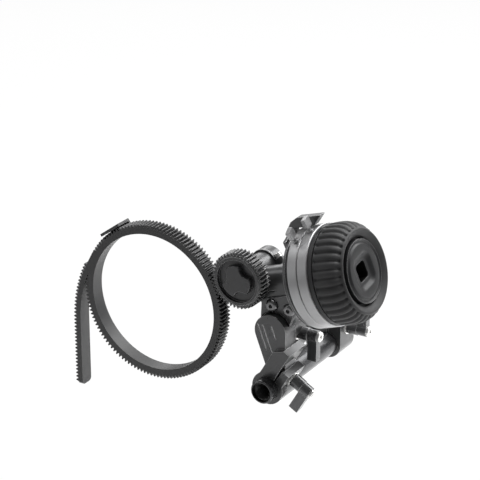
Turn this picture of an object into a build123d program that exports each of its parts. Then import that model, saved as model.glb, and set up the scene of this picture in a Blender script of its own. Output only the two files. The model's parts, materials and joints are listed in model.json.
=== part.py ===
"""Follow focus unit on a single 15 mm rod, with a toothed lens belt.

A cage block carries the rod.  A swing arm clamps on the rod and carries the gear unit
on an elbow hinge.  The handwheel turns the drive gear through a pair of crossed-axis
screw gears, and the drive gear turns the belt that sits round the lens barrel.

Units are millimetres.  +X points to the operator's right, +Y along the lens axis away
from the subject, +Z up.  The origin is on the cage face, on the axis of the cage stud.
"""
from build123d import *
from math import atan2, cos, degrees, pi, radians, sin, tan
import os

os.makedirs("parts", exist_ok=True)

# ---------------------------------------------------------------- driving dimensions
running_fit = 0.05              # radial clearance of every turning or sliding pair
face_gap = 0.3                  # side clearance between faces that pass each other
edge_break = 0.6                # small fillet or chamfer on machined edges
fine_break = 0.4                # the same on small turned parts
screw_gap = 0.5                 # between a screw's end and the bottom of its hole

# cage block and rod
plate_thickness = 5.0
block_right = 18.5              # right face of the cage block
block_depth = 16.0              # along Y
block_lead = 5.0                # how far the block stands in front of the stud axis
block_bottom = -11.5
block_top = 8.0
plate_drop = 3.5                # plate's bottom below the block's
plate_step = 3.0                # plate's top below the block's
plate_slope = 6.0               # length of the slope down to the rod clamp
plate_corner = 2.0
base_screw_radius = 1.5
base_screw_head_radius = 2.7
base_screw_head_height = 2.0
base_screw_sink = 2.4           # depth of the counterbore
base_screw_grip = 6.0           # thread depth in the piece held
base_screw_key = (2.0, 1.2)     # hex key: size across flats and depth
locating_pin_radius = 1.6
locating_pin_shank = 1.2        # thinner end pressed into the plate
locating_pin_relief = (2.0, 0.4)  # shallow recess round each pin: radius and depth
locating_pin_reach = 3.0        # how far the pins stand out of the cage face
locating_pin_seat = 3.0
locating_pin_places = [16.0, 34.0]
locating_pin_z = -5.0
rod_radius = 7.5
rod_length = 100.0
rod_thread_radius = 5.1         # M12 tapped end
rod_thread_depth = 14.0         # behind the counterbore
rod_bore_radius = 4.2
rod_mouth = (6.3, 1.6)          # counterbore in front of the thread: radius and depth
rod_axis_x = 14.5
rod_axis_z = -27.0
rod_nose = -37.3                # front end of the rod along Y
rod_clamp_wall = 2.2
rod_clamp_depth = 18.0
rod_clamp_rise = 15.5           # height of the split ears above the rod axis
clamp_slit = 1.4
rod_clamp_foot_rise = 3.0       # flat foot of the clamp above its round underside
rod_clamp_corner = 2.5
block_screw_inset = 3.5         # from the block's rear face
block_screw_rows = [1.5, -8.0]  # heights of the two screws in the cage block
clamp_screw_spread = 11.0       # between the two screws in the rod clamp
clamp_screw_rise = 13.5         # above the rod axis

# wing levers
stud_radius = 3.175             # quarter-inch cage stud
stud_shank_radius = 2.6         # thinner shank behind the thread
stud_reach = 7.0                # how far the cage stud stands out of the cage face
stud_chamfer = 0.5
lock_screw_radius = 2.2
lever_barrel_radius = 4.2
lever_barrel_length = 7.2
lever_chamfer = 0.5
lever_washer_radius = 4.9
lever_washer_thickness = 0.9
lever_neck = 0.4                # step from the barrel to the wing's hub
wing_width = 6.4                # along the screw
wing_thickness = 5.0
wing_reach = 16.8               # from the screw axis to the wing's tip
wing_round = 0.9
lever_cap_radius = 3.3
lever_cap_height = 1.8
lever_key = (2.5, 1.3)
lock_screw_wall = 1.5           # left behind a locking screw's hole
rear_lever_height = 10.5        # screw axis above the rod axis

# swing arm
arm_rear = -10.0                # rear face along Y
arm_depth = 20.0
arm_lean = 30.0                 # lean of the arm plate to the right, degrees
arm_collar_radius = 10.6
arm_plate_left = -9.2           # plate edges, measured across the plate from the rod axis
arm_plate_right = 0.8
arm_plate_top = 28.8            # along the plate from the rod axis
arm_corner_cut = 5.0
jaw_right = 7.5
jaw_top = 16.5
arm_lever_height = 10.9         # screw axis, along the plate from the rod axis
elbow_height = 36.0             # elbow axis above the rod axis
elbow_radius = 10.75
knuckle_setback = 3.0           # knuckle front behind the plate front
knuckle_depth = 12.0
knuckle_foot = (4.0, 15.0)      # centre of the knuckle's lower end, from the rod axis
knuckle_foot_radius = 7.0
knuckle_grooves = [(-5.6, 31.6, 17.0), (-2.0, 31.0, 19.0), (2.2, 36.0, 9.0)]
knuckle_groove_width = 1.1
knuckle_groove_depth = 0.7
knuckle_groove_lean = 21.0
elbow_pin_radius = 3.0
elbow_pin_seat = 10.0           # pin depth in the knuckle
clip_radius = 5.0
clip_recess = 1.7
clip_thickness = 0.9

# gear unit, measured from the elbow axis along the tilted unit
unit_tilt = 18.3                # tilt of the handwheel axis above level, degrees
gear_offset = -10.1             # drive gear axis, across the unit
wheel_rise = 26.8               # handwheel axis above the elbow axis
crossing_y = -11.0              # handwheel axis along Y
lug_depth = 8.0
stem_front = -22.0
stem_left = -4.1
stem_right = 21.0
stem_shoulder = (13.7, 3.0)     # corner beside the knuckle
stem_screw_radius = 1.6
stem_screw_head_radius = 4.0
stem_screw_head_height = 3.2
stem_screw_sink = 1.0
stem_screw_grip = 6.5           # thread depth in the bracket
stem_screw_round = 1.9
stem_screw_key = (2.5, 1.6)
stem_screw_places = [(3.4, 15.4), (14.6, 11.0)]
stem_flange_thickness = 3.0
bracket_rear = -2.0             # rear of the bracket's flange
bracket_screw_radius = 1.0
bracket_screw_head_radius = 1.8
bracket_screw_head_height = 1.6
bracket_screw_grip = 4.5
bracket_screw_key = (1.6, 1.0)
bracket_screw_inset = 2.2
bracket_screw_places = [0.0, 17.0]
housing_floor = 20.5            # housing's flat underside, above the elbow axis
boss_radius = 10.0
boss_left = -13.0               # along the handwheel axis from the drive gear axis
boss_right = 38.0
barrel_radius = 8.0
barrel_front = -21.5
barrel_rear = 7.8
bore_left_end = -11.5
slit_place = (5.3, 23.6)        # engraved mark on the housing's front
slit_size = (5.7, 0.9)
slit_depth = 0.8
block_inset = 5.0               # square block's end short of the boss's end
cover_thickness = 1.5
cover_spigot = 1.8              # how far the cover's spigot goes into the bore
cover_key_hole_radius = 0.8
cover_key_hole_depth = 0.9
cover_key_hole_offset = 5.0
small_screw_radius = 1.0        # countersunk screws of the flange and the retainer
small_screw_grip = 4.0
flange_screw_circle = 7.8
collar_front = 0.6
collar_rear = 9.3
collar_wall = 1.2
ear_angle = 21.0                # clamp screw's place on the collar, from the unit's right
ear_drop = 1.6                  # ear's seat below the middle of that place
ear_radius = 2.3
ear_length = 4.2
ear_offset = 11.2               # clamp screw's line from the drive gear axis
collar_screw_radius = 1.1
collar_screw_head_radius = 2.0
collar_screw_head_height = 3.0
collar_screw_key = (2.0, 1.5)
drive_bush_rear = 4.6
drive_shaft_rear = 5.6
pointer_foot = 4.4              # thickness of the pointer's foot, left of the index flange
pointer_foot_bottom = 22.5
pointer_underside = 31.9
pointer_lobe = 2.0              # thickness of the foot's lobe towards the front
pointer_lobe_tip = (31.0, 28.5)   # radius and angle of the lobe's outer corner
pointer_lobe_end = (27.0, 31.0)
pointer_beak = 52.3
pointer_tip = 59.0
pointer_screw_radius = 1.1
pointer_screw_head_radius = 1.8
pointer_screw_head_height = 0.9
pointer_screw_sink = 1.1
pointer_screw_grip = 1.8
pointer_screw_places = [(0, 24.6), (0, 28.2)]
shaft_radius = 3.0
bush_radius = 5.2
bush_length = 4.5
index_flange_radius = 29.8
index_flange_thickness = 2.6

# screw gears inside the housing
screw_gear_teeth = 12
screw_gear_module = 0.5         # normal module
screw_gear_helix = 45.0
screw_gear_width = 8.0
screw_gear_sections = 6         # twisted sections along a screw gear
screw_gear_addendum = 0.8       # tooth height above the pitch circle, in modules
screw_gear_backlash = 0.4
screw_gear_clearance = 0.15     # added to the centre distance

# drive gear and lens belt
gear_module = 0.8
drive_teeth = 43
belt_teeth = 125
tooth_backlash = 0.12
mesh_clearance = 0.1            # added to the centre distance
pressure_angle = 20.0
gear_front = -31.0
gear_width = 8.5
gear_rim_radius = 15.6
gear_rim_height = 0.9
gear_recess_radius = 13.6
gear_recess_depth = 2.4
knob_radius = 10.0
knob_height = 3.6
knob_scallop_radius = 6.0
knob_scallop_depth = 3.4
knob_turn = 50.0
knob_corner = 1.2
mesh_angle = 24.4               # direction from the lens axis to the drive gear, degrees
belt_front = -31.4
belt_width = 9.6
belt_inner_radius = 44.8
belt_root_wall = 4.2            # belt thickness under the teeth
buckle_angle = 126.0            # middle of the buckle on the belt, degrees
buckle_length = 16.5
buckle_plate = 1.8
buckle_wall = 1.6
buckle_foot = 1.6               # its rear wall's lower edge above the belt's inside
buckle_lip = 0.6                # how far the buckle stands in front of the belt
buckle_screw_radius = 0.9
buckle_screw_head_radius = 1.7
buckle_screw_head_height = 1.2
buckle_screw_grip = 5.0
buckle_screw_turn = 6.5         # each side of the buckle's middle, degrees
tail_leave_angle = 150.0        # where the free end leaves the loop
tail_offset = 57.1              # straight run's distance beside the lens axis
tail_bend_drop = 25.0           # height of the bend's end below the lens axis
tail_drop = 71.0                # height of the tail's end below the lens axis
tail_wall = 3.2
tail_first_tooth = 5            # teeth of the free end start clear of the loop's
tooth_sink = 0.1                # tooth foot below the free end's surface
tail_corner = 2.6

# handwheel, measured along its axis from the drive gear axis
ring_start = 42.1
ring_width = 6.7
ring_gap = 0.25
ring_radius = 31.1
ring_bore_radius = 26.0
hub_step_width = 2.8
hub_step_radius = 30.3
hub_end = 72.0                  # floor of the gap round the front disc
shaft_reach = 51.0              # right end of the wheel shaft
disc_radius = 19.3
disc_rim_width = 3.4
disc_rim_drop = 0.9
disc_rim_slope = 0.6
disc_boss_radius = 8.5
disc_boss_floor = 1.5           # left under the square socket
retainer_radius = 27.6
retainer_thickness = 0.8
retainer_bore_radius = 19.0
retainer_screw_circle = 22.6
wheel_shaft_left = -9.0
grip_front = 77.3
grip_start_radius = 30.2
grip_crown = (64.0, 30.9)       # highest point of the grip's crown: along, radius
grip_front_radius = 24.6        # where the crown meets the flat front
grip_mouth_radius = 22.2
grip_flutes = 44
flute_width = 3.3
flute_depth = 0.6
disc_inset = 0.7                # disc face behind the grip's front
socket_size = 10.7
socket_corner = 1.6
socket_depth = 9.0
socket_turn = 8.0
pocket_size = 16.4              # shallow pocket round the socket
pocket_corner = 4.0
pocket_depth = 1.4
pocket_slope = 40.0             # lean of the pocket's sides, degrees

# stop screws and pointer
stop_a_angle = 15.0             # from the unit's top towards the front, degrees
stop_b_angle = 29.0
stop_stem_radius = 1.1
stop_collar_radius = 2.1
stop_collar_height = 1.2
stop_neck = 2.0
flag_width = 6.0
flag_height = 6.2
flag_thickness = 2.4
flag_corner = 0.9
pointer_thickness = 6.0
pointer_top = 38.2              # above the handwheel axis
pointer_shoulder = (0.9, 2.3)   # cut off the corner above the foot
pointer_tip_height = 0.5        # blunt end of the beak

# ---------------------------------------------------------------- frames and places
rod_axis_point = (rod_axis_x, 0, rod_axis_z)
rod_tail = rod_nose + rod_length
rod_clamp_rear = rod_tail + 1.0
rod_clamp_centre_y = rod_clamp_rear - rod_clamp_depth / 2
rod_clamp_radius = rod_radius + rod_clamp_wall
arm_front = arm_rear - arm_depth
arm_centre_y = arm_rear - arm_depth / 2
knuckle_front = arm_front + knuckle_setback
knuckle_rear = knuckle_front + knuckle_depth
lug_front = knuckle_rear + face_gap
lug_rear = lug_front + lug_depth

elbow = Vector(rod_axis_x, 0, rod_axis_z + elbow_height)
across = Vector(cos(radians(unit_tilt)), 0, sin(radians(unit_tilt)))      # handwheel axis
upward = Vector(-sin(radians(unit_tilt)), 0, cos(radians(unit_tilt)))
screw_gear_pitch_radius = (screw_gear_teeth * screw_gear_module
                           / cos(radians(screw_gear_helix)) / 2)
gear_rise = wheel_rise + 2 * screw_gear_pitch_radius + screw_gear_clearance
gear_axis = elbow + across * gear_offset + upward * gear_rise
crossing = elbow + across * gear_offset + upward * wheel_rise + Vector(0, crossing_y, 0)
drive_pitch_radius = drive_teeth * gear_module / 2
belt_pitch_radius = belt_teeth * gear_module / 2
mesh_distance = drive_pitch_radius + belt_pitch_radius + mesh_clearance
mesh_direction = Vector(cos(radians(mesh_angle)), 0, sin(radians(mesh_angle)))
lens_axis = gear_axis - mesh_direction * mesh_distance

housing_front = crossing_y - boss_radius
housing_rear = crossing_y + boss_radius
gear_rear = gear_front + gear_width
index_flange_end = boss_right + index_flange_thickness
base_screw_places = (
    [(block_depth - block_lead - block_screw_inset, z) for z in block_screw_rows]
    + [(rod_clamp_centre_y + side * clamp_screw_spread / 2, rod_axis_z + clamp_screw_rise)
       for side in (-1, 1)])
ring_a_start = ring_start + ring_width + ring_gap
hub_step_start = ring_a_start + ring_width + ring_gap
grip_start = hub_step_start + hub_step_width
hub_seat_radius = ring_bore_radius - running_fit
grip_seat_radius = ring_bore_radius + 1.0
retainer_start = ring_start - running_fit - retainer_thickness
disc_face = grip_front - disc_inset
belt_root_radius = belt_inner_radius + belt_root_wall
belt_tip_radius = belt_pitch_radius + gear_module


def facing_front(y, centre=(0, 0, 0), turn=0.0):
    """Sketch plane square to Y: x to the right, y up, normal towards the front."""
    x_dir = (cos(radians(turn)), 0, sin(radians(turn)))
    return Plane(origin=(tuple(centre)[0], y, tuple(centre)[2]), x_dir=x_dir, z_dir=(0, -1, 0))


def unit_front(y, right=0.0, up=0.0):
    """The same plane in the tilted gear unit, measured from the elbow axis."""
    return facing_front(y, elbow + across * right + upward * up, unit_tilt)


def barrel_front_plane(y):
    """The same plane on the drive gear axis."""
    return facing_front(y, gear_axis, unit_tilt)


def wheel_section(along):
    """Sketch plane square to the handwheel axis: x towards the rear, y up the unit."""
    return Plane(origin=crossing + across * along, x_dir=(0, 1, 0), z_dir=across)


def wheel_section_left(along):
    """The same seen from the drive gear: x towards the front, y up, normal to the left."""
    return Plane(origin=crossing + across * along, x_dir=(0, -1, 0), z_dir=across * -1)


def wheel_radial(along, angle, radius=0.0):
    """Plane on the handwheel's side, `angle` degrees from its top towards the front."""
    outward = upward * cos(radians(angle)) + Vector(0, -sin(radians(angle)), 0)
    return Plane(origin=crossing + across * along + outward * radius, x_dir=across, z_dir=outward)


def side_plane(x, y, z, outward):
    """Plane square to X at a point, its normal along `outward` (1 or -1), its x along Y."""
    return Plane(origin=(x, y, z), x_dir=(0, 1, 0), z_dir=(outward, 0, 0))


def polar(radius, angle):
    """Point in a sketch plane from its radius and angle in degrees."""
    return (radius * cos(radians(angle)), radius * sin(radians(angle)))


# Profiles of turned handwheel parts: x along the axis from the drive gear, y the radius.
wheel_profile = Plane(origin=crossing, x_dir=across, z_dir=(0, -1, 0))
wheel_axis = Axis(crossing, across)


def write(part, name):
    """Label a finished piece and write its STEP file."""
    part.label = name
    export_step(part, f"parts/{name}.step")


def add_box(plane, x_span, y_span, depth, mode=Mode.ADD):
    """Inside a part: extrude a rectangle, given by its spans, off its plane."""
    with BuildSketch(plane) as profile:
        with Locations(((x_span[0] + x_span[1]) / 2, (y_span[0] + y_span[1]) / 2)):
            Rectangle(x_span[1] - x_span[0], y_span[1] - y_span[0])
    extrude(profile.sketch, amount=depth, mode=mode)


def add_disc(plane, radius, depth, places=((0, 0),), mode=Mode.ADD):
    """Inside a part: extrude a circle, or one at each place, off its plane."""
    with BuildSketch(plane) as profile:
        with Locations(*places):
            Circle(radius)
    extrude(profile.sketch, amount=depth, mode=mode)


def add_bar(plane, radius, depth, break_end):
    """Inside a part: a round bar off its plane, with a chamfer round its far end."""
    add_disc(plane, radius, depth - break_end)
    with BuildSketch(plane.offset(depth - break_end)) as end:
        Circle(radius)
    extrude(end.sketch, amount=break_end, taper=45)


def add_ring(plane, inner, outer, depth):
    """Inside a part: extrude a ring off its plane."""
    with BuildSketch(plane) as profile:
        Circle(outer)
        Circle(inner, mode=Mode.SUBTRACT)
    extrude(profile.sketch, amount=depth)


def cut_hex(plane, size, depth):
    """Inside a part: a hex key socket sunk below its plane."""
    with BuildSketch(plane) as profile:
        RegularPolygon(size / 2, 6, major_radius=False)
    extrude(profile.sketch, amount=-depth, mode=Mode.SUBTRACT)


def flush_holes(plane, radius, circle, count, head_ratio=1.9):
    """Inside a part: countersunk through holes on a circle."""
    with Locations(plane):
        with PolarLocations(circle, count):
            CounterSinkHole(radius, head_ratio * radius, counter_sink_angle=90)


def flush_screws(plane, radius, length, circle, count, head_ratio=1.9):
    """Inside a part: countersunk screws on a circle, their heads flush with the plane."""
    head_radius = head_ratio * radius
    hang = (Align.CENTER, Align.CENTER, Align.MAX)
    with Locations(plane):
        with PolarLocations(circle, count):
            Cone(radius, head_radius, head_radius - radius, align=hang)
            Cylinder(radius, length, align=hang)
    with BuildSketch(plane) as sockets:
        with PolarLocations(circle, count):
            RegularPolygon(0.8 * radius, 6)
    extrude(sockets.sketch, amount=-0.7 * radius, mode=Mode.SUBTRACT)


# ---------------------------------------------------------------- cage block (fixed body)
plate_bottom = block_bottom - plate_drop
plate_top = block_top - plate_step
plate_neck_y = rod_clamp_rear - rod_clamp_depth - plate_slope
rod_clamp_foot = rod_axis_z + rod_clamp_foot_rise - rod_clamp_radius
rod_clamp_left = plate_thickness - rod_axis_x

with BuildPart() as base_plate:
    with BuildSketch(side_plane(0, 0, 0, 1)):
        with BuildLine():
            Polyline(
                (-block_lead, plate_bottom), (plate_neck_y, plate_bottom),
                (plate_neck_y + plate_slope, rod_clamp_foot), (rod_clamp_rear, rod_clamp_foot),
                (rod_clamp_rear, plate_top), (-block_lead, plate_top), close=True)
        make_face()
    extrude(amount=plate_thickness)
    fillet(base_plate.edges().filter_by(Axis.X), plate_corner)
    with Locations(side_plane(plate_thickness, 0, 0, 1)):
        Hole(stud_radius + running_fit)
    for y, z in base_screw_places:
        with Locations(side_plane(0, y, z, -1)):
            CounterBoreHole(base_screw_radius, base_screw_head_radius + running_fit,
                            base_screw_sink)
    for y in locating_pin_places:
        with Locations(side_plane(0, y, locating_pin_z, -1)):
            CounterBoreHole(locating_pin_shank, *locating_pin_relief, depth=locating_pin_seat)
write(base_plate.part, "base_plate")

with BuildPart() as cage_block:
    add_box(side_plane(plate_thickness, 0, 0, 1), (-block_lead, block_depth - block_lead),
            (block_bottom, block_top), block_right - plate_thickness)
    fillet(cage_block.edges().filter_by(Axis.X), 2 * edge_break)
    chamfer(cage_block.faces().sort_by(Axis.X)[-1].edges(), edge_break)
    with Locations(side_plane(block_right, 0, 0, 1)):
        Hole(stud_radius + running_fit)
    for y, z in base_screw_places[:2]:
        with Locations(side_plane(plate_thickness, y, z, -1)):
            Hole(base_screw_radius, depth=base_screw_grip)
write(cage_block.part, "cage_block")

with BuildPart() as rod_clamp:
    rear_face = facing_front(rod_clamp_rear, rod_axis_point)
    add_disc(rear_face, rod_clamp_radius, rod_clamp_depth)
    add_box(rear_face, (-2 * rod_clamp_radius, rod_clamp_left),
            (-rod_clamp_radius, rod_clamp_radius), rod_clamp_depth, mode=Mode.SUBTRACT)
    add_box(rear_face, (rod_clamp_left, rod_clamp_radius), (0, rod_clamp_rise), rod_clamp_depth)
    add_box(rear_face, (rod_clamp_left, 0), (rod_clamp_foot - rod_axis_z, 0), rod_clamp_depth)
    fillet(rod_clamp.edges().filter_by(Axis.Y).group_by(Axis.Z)[-1].sort_by(Axis.X)[-1],
           rod_clamp_corner)
    add_disc(rear_face, rod_radius + running_fit, rod_clamp_depth, mode=Mode.SUBTRACT)
    add_box(rear_face, (-clamp_slit / 2, clamp_slit / 2), (0, rod_clamp_rise + 1),
            rod_clamp_depth, mode=Mode.SUBTRACT)
    with Locations(side_plane(rod_axis_x + rod_clamp_radius, rod_clamp_centre_y,
                              rod_axis_z + rear_lever_height, 1)):
        Hole(lock_screw_radius + running_fit,
             depth=rod_clamp_radius - rod_clamp_left - lock_screw_wall)
    for y, z in base_screw_places[2:]:
        with Locations(side_plane(plate_thickness, y, z, -1)):
            Hole(base_screw_radius, depth=base_screw_grip)
write(rod_clamp.part, "rod_clamp")

with BuildPart() as base_screws:
    for y, z in base_screw_places:
        head = side_plane(base_screw_sink, y, z, -1)
        add_disc(head, base_screw_head_radius, base_screw_head_height)
        add_disc(head, base_screw_radius,
                 base_screw_sink - plate_thickness - base_screw_grip + screw_gap)
        cut_hex(head.offset(base_screw_head_height), *base_screw_key)
write(base_screws.part, "base_screws")

with BuildPart() as locating_pins:
    for y in locating_pin_places:
        add_disc(side_plane(locating_pin_seat, y, locating_pin_z, -1), locating_pin_shank,
                 locating_pin_seat)
        add_disc(side_plane(0, y, locating_pin_z, -1), locating_pin_radius, locating_pin_reach)
    chamfer(locating_pins.faces().group_by(Axis.X)[0].edges(), fine_break)
write(locating_pins.part, "locating_pins")

# ---------------------------------------------------------------- wing levers
lever_barrel_start = lever_washer_thickness + running_fit
wing_start = lever_barrel_start + lever_barrel_length
wing_end = wing_start + wing_width


def lever_washer(frame, name, screw_radius):
    """Plain washer under a wing lever; the frame's normal is the screw's axis."""
    with BuildPart() as washer:
        add_ring(frame, screw_radius + running_fit, lever_washer_radius, lever_washer_thickness)
    write(washer.part, name)


def wing_lever(frame, name, screw_radius):
    """Round barrel with a flat wing at its outer end, along the frame's x."""
    along_wing = Axis(frame.origin, frame.x_dir)
    along_screw = Axis(frame.origin, frame.z_dir)
    with BuildPart() as lever:
        add_disc(frame.offset(lever_barrel_start), lever_barrel_radius, lever_barrel_length)
        chamfer(lever.faces().sort_by(along_screw)[0].edges(), lever_chamfer)
        add_disc(frame.offset(wing_start), lever_barrel_radius - lever_neck, wing_width)
        add_box(frame.offset(wing_start), (0, wing_reach),
                (-wing_thickness / 2, wing_thickness / 2), wing_width)
        fillet(lever.faces().sort_by(along_wing)[-1].edges(), wing_round)
        add_disc(frame, screw_radius, wing_end, mode=Mode.SUBTRACT)
    write(lever.part, name)


def lever_screw(frame, name, radius, inner_length, stud=0.0):
    """Screw through a wing lever, with a capped head outside the wing and, at its inner
    end, a thicker stud where `stud` gives its length."""
    with BuildPart() as screw:
        add_disc(frame.offset(-inner_length), radius, inner_length + wing_end)
        if stud:
            add_disc(frame.offset(-inner_length), stud_radius, -stud)
            inner_face = screw.faces().sort_by(Axis(frame.origin, frame.z_dir))[0]
            chamfer(inner_face.edges(), stud_chamfer)
        add_disc(frame.offset(wing_end), lever_cap_radius, lever_cap_height)
        outer_face = screw.faces().sort_by(Axis(frame.origin, frame.z_dir))[-1]
        chamfer(outer_face.edges(), fine_break)
        cut_hex(frame.offset(wing_end + lever_cap_height), *lever_key)
    write(screw.part, name)


cage_lever_frame = Plane(origin=(block_right, 0, 0), x_dir=(0, 0, -1), z_dir=(1, 0, 0))
lever_washer(cage_lever_frame, "cage_lever_washer", stud_shank_radius)
wing_lever(cage_lever_frame, "cage_lever", stud_shank_radius)
lever_screw(cage_lever_frame, "cage_stud", stud_shank_radius, block_right, stud_reach)

rod_lever_frame = Plane(
    origin=(rod_axis_x + rod_clamp_radius, rod_clamp_centre_y, rod_axis_z + rear_lever_height),
    x_dir=(0, 0, 1), z_dir=(1, 0, 0))
lever_washer(rod_lever_frame, "rod_lever_washer", lock_screw_radius)
wing_lever(rod_lever_frame, "rod_lever", lock_screw_radius)
lever_screw(rod_lever_frame, "rod_lock_screw", lock_screw_radius,
            rod_clamp_radius - rod_clamp_left - lock_screw_wall - screw_gap)

arm_across = Vector(cos(radians(arm_lean)), 0, -sin(radians(arm_lean)))
arm_along = Vector(sin(radians(arm_lean)), 0, cos(radians(arm_lean)))
arm_seat = (Vector(rod_axis_x, arm_centre_y, rod_axis_z) + arm_across * jaw_right
            + arm_along * arm_lever_height)
arm_lever_frame = Plane(origin=arm_seat, x_dir=arm_along * -1, z_dir=arm_across)
lever_washer(arm_lever_frame, "arm_lever_washer", lock_screw_radius)
wing_lever(arm_lever_frame, "arm_lever", lock_screw_radius)
lever_screw(arm_lever_frame, "arm_lock_screw", lock_screw_radius,
            jaw_right - arm_plate_left - lock_screw_wall - screw_gap)

# ---------------------------------------------------------------- rod
with BuildPart() as rod:
    add_disc(facing_front(rod_tail, rod_axis_point), rod_radius, rod_length)
    chamfer(rod.edges().filter_by(GeomType.CIRCLE), edge_break)
    add_disc(facing_front(rod_tail, rod_axis_point), rod_bore_radius, rod_length,
             mode=Mode.SUBTRACT)
    with Locations(facing_front(rod_nose, rod_axis_point)):
        CounterBoreHole(rod_thread_radius, *rod_mouth, depth=rod_mouth[1] + rod_thread_depth)
write(rod.part, "rod")

# ---------------------------------------------------------------- swing arm
slit_span = (arm_plate_right, arm_plate_right + clamp_slit)
with BuildPart() as swing_arm:
    arm_face = facing_front(arm_rear, rod_axis_point, -arm_lean)
    with BuildSketch(arm_face):
        Circle(arm_collar_radius)
        with BuildLine():
            Polyline(
                (arm_plate_left, 0), (arm_plate_left, arm_plate_top - arm_corner_cut),
                (arm_plate_left + arm_corner_cut, arm_plate_top), (arm_plate_right, arm_plate_top),
                (arm_plate_right, jaw_top), (jaw_right, jaw_top), (jaw_right, 0), close=True)
        make_face()
    extrude(amount=arm_depth)
    with BuildSketch(facing_front(knuckle_rear, rod_axis_point)):
        with Locations((0, elbow_height)):
            Circle(elbow_radius)
        with Locations(knuckle_foot):
            Circle(knuckle_foot_radius)
        make_hull()
    extrude(amount=knuckle_depth)
    add_box(arm_face, slit_span, (0, jaw_top + 1), arm_depth, mode=Mode.SUBTRACT)
    add_disc(arm_face, rod_radius + running_fit, arm_depth, mode=Mode.SUBTRACT)
    with BuildSketch(facing_front(knuckle_front, rod_axis_point)):
        for x, z, length in knuckle_grooves:
            with Locations((x, z)):
                SlotOverall(length, knuckle_groove_width, rotation=90 + knuckle_groove_lean)
    extrude(amount=-knuckle_groove_depth, mode=Mode.SUBTRACT)
    add_disc(facing_front(knuckle_rear, elbow), elbow_pin_radius, elbow_pin_seat,
             mode=Mode.SUBTRACT)
    add_disc(arm_lever_frame, lever_washer_radius + face_gap, arm_collar_radius - jaw_right,
             mode=Mode.SUBTRACT)
    add_disc(arm_lever_frame, lock_screw_radius + running_fit,
             arm_plate_left - jaw_right + lock_screw_wall, mode=Mode.SUBTRACT)
write(swing_arm.part, "swing_arm")

with BuildPart() as elbow_pin:
    add_disc(facing_front(lug_rear, elbow), elbow_pin_radius,
             lug_rear - knuckle_rear + elbow_pin_seat - screw_gap)
    chamfer(elbow_pin.faces().sort_by(Axis.Y)[-1].edges(), fine_break)
write(elbow_pin.part, "elbow_pin")

clip_front = lug_rear - clip_recess + face_gap
with BuildPart() as elbow_clip:
    add_ring(facing_front(clip_front + clip_thickness, elbow), elbow_pin_radius, clip_radius,
             clip_thickness)
write(elbow_clip.part, "elbow_clip")

# ---------------------------------------------------------------- gear unit: stem


def bracket_screw_plane(right):
    """Plane under the bracket's flange, facing down, on a screw's axis."""
    origin = (elbow + across * right + upward * (housing_floor - stem_flange_thickness)
              + Vector(0, bracket_rear - bracket_screw_inset, 0))
    return Plane(origin=origin, x_dir=across, z_dir=upward * -1)


def stem_outline():
    """Inside a sketch on the unit's elbow: lug disc and the body that widens to the flange."""
    Circle(elbow_radius)
    with BuildLine() as body:
        Polyline(
            (-elbow_radius, 0), (stem_left, housing_floor - stem_flange_thickness),
            (stem_left, housing_floor), (stem_right, housing_floor),
            (stem_right, housing_floor - 3 * stem_flange_thickness), stem_shoulder,
            (elbow_radius, 0), close=True)
    make_face(body.edges())


with BuildPart() as stem_bracket:
    with BuildSketch(unit_front(lug_rear)):
        stem_outline()
    extrude(amount=lug_rear - lug_front)
    add_box(unit_front(bracket_rear), (stem_left, stem_right),
            (housing_floor - stem_flange_thickness, housing_floor), bracket_rear - lug_front)
    fillet(stem_bracket.edges().filter_by(Axis.Y).group_by(Axis.Z)[0], fine_break)
    add_disc(unit_front(lug_rear), elbow_pin_radius + running_fit, lug_depth, mode=Mode.SUBTRACT)
    add_disc(unit_front(lug_rear), clip_radius + face_gap, clip_recess, mode=Mode.SUBTRACT)
    add_disc(unit_front(lug_front), stem_screw_radius, -stem_screw_grip, stem_screw_places,
             mode=Mode.SUBTRACT)
    for right in bracket_screw_places:
        with Locations(bracket_screw_plane(right)):
            Hole(bracket_screw_radius + running_fit, depth=stem_flange_thickness)
write(stem_bracket.part, "stem_bracket")

with BuildPart() as bracket_screws:
    for right in bracket_screw_places:
        underside = bracket_screw_plane(right)
        add_disc(underside, bracket_screw_head_radius, bracket_screw_head_height)
        add_disc(underside, bracket_screw_radius,
                 screw_gap - stem_flange_thickness - bracket_screw_grip)
        cut_hex(underside.offset(bracket_screw_head_height), *bracket_screw_key)
write(bracket_screws.part, "bracket_screws")

with BuildPart() as stem_plate:
    with BuildSketch(unit_front(lug_front)):
        stem_outline()
        Circle(elbow_radius + face_gap, mode=Mode.SUBTRACT)
        with Locations((0, -elbow_radius)):
            Rectangle(4 * elbow_radius, 2 * elbow_radius + 2 * face_gap, mode=Mode.SUBTRACT)
    extrude(amount=lug_front - stem_front)
    chamfer(stem_plate.faces().sort_by(Axis.Y)[0].edges(), edge_break)
    for right, up in stem_screw_places:
        with Locations(unit_front(stem_front, right, up)):
            CounterBoreHole(stem_screw_radius + running_fit, stem_screw_head_radius + face_gap,
                            stem_screw_sink)
write(stem_plate.part, "stem_plate")

with BuildPart() as stem_screws:
    for right, up in stem_screw_places:
        seat = unit_front(stem_front + stem_screw_sink, right, up)
        add_disc(seat, stem_screw_head_radius, stem_screw_head_height)
        add_disc(seat, stem_screw_radius,
                 stem_front + stem_screw_sink - lug_front - stem_screw_grip + screw_gap)
    fillet(stem_screws.faces().group_by(Axis.Y)[0].edges(), stem_screw_round)
    for right, up in stem_screw_places:
        top = unit_front(stem_front + stem_screw_sink - stem_screw_head_height, right, up)
        cut_hex(top, *stem_screw_key)
write(stem_screws.part, "stem_screws")

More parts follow.
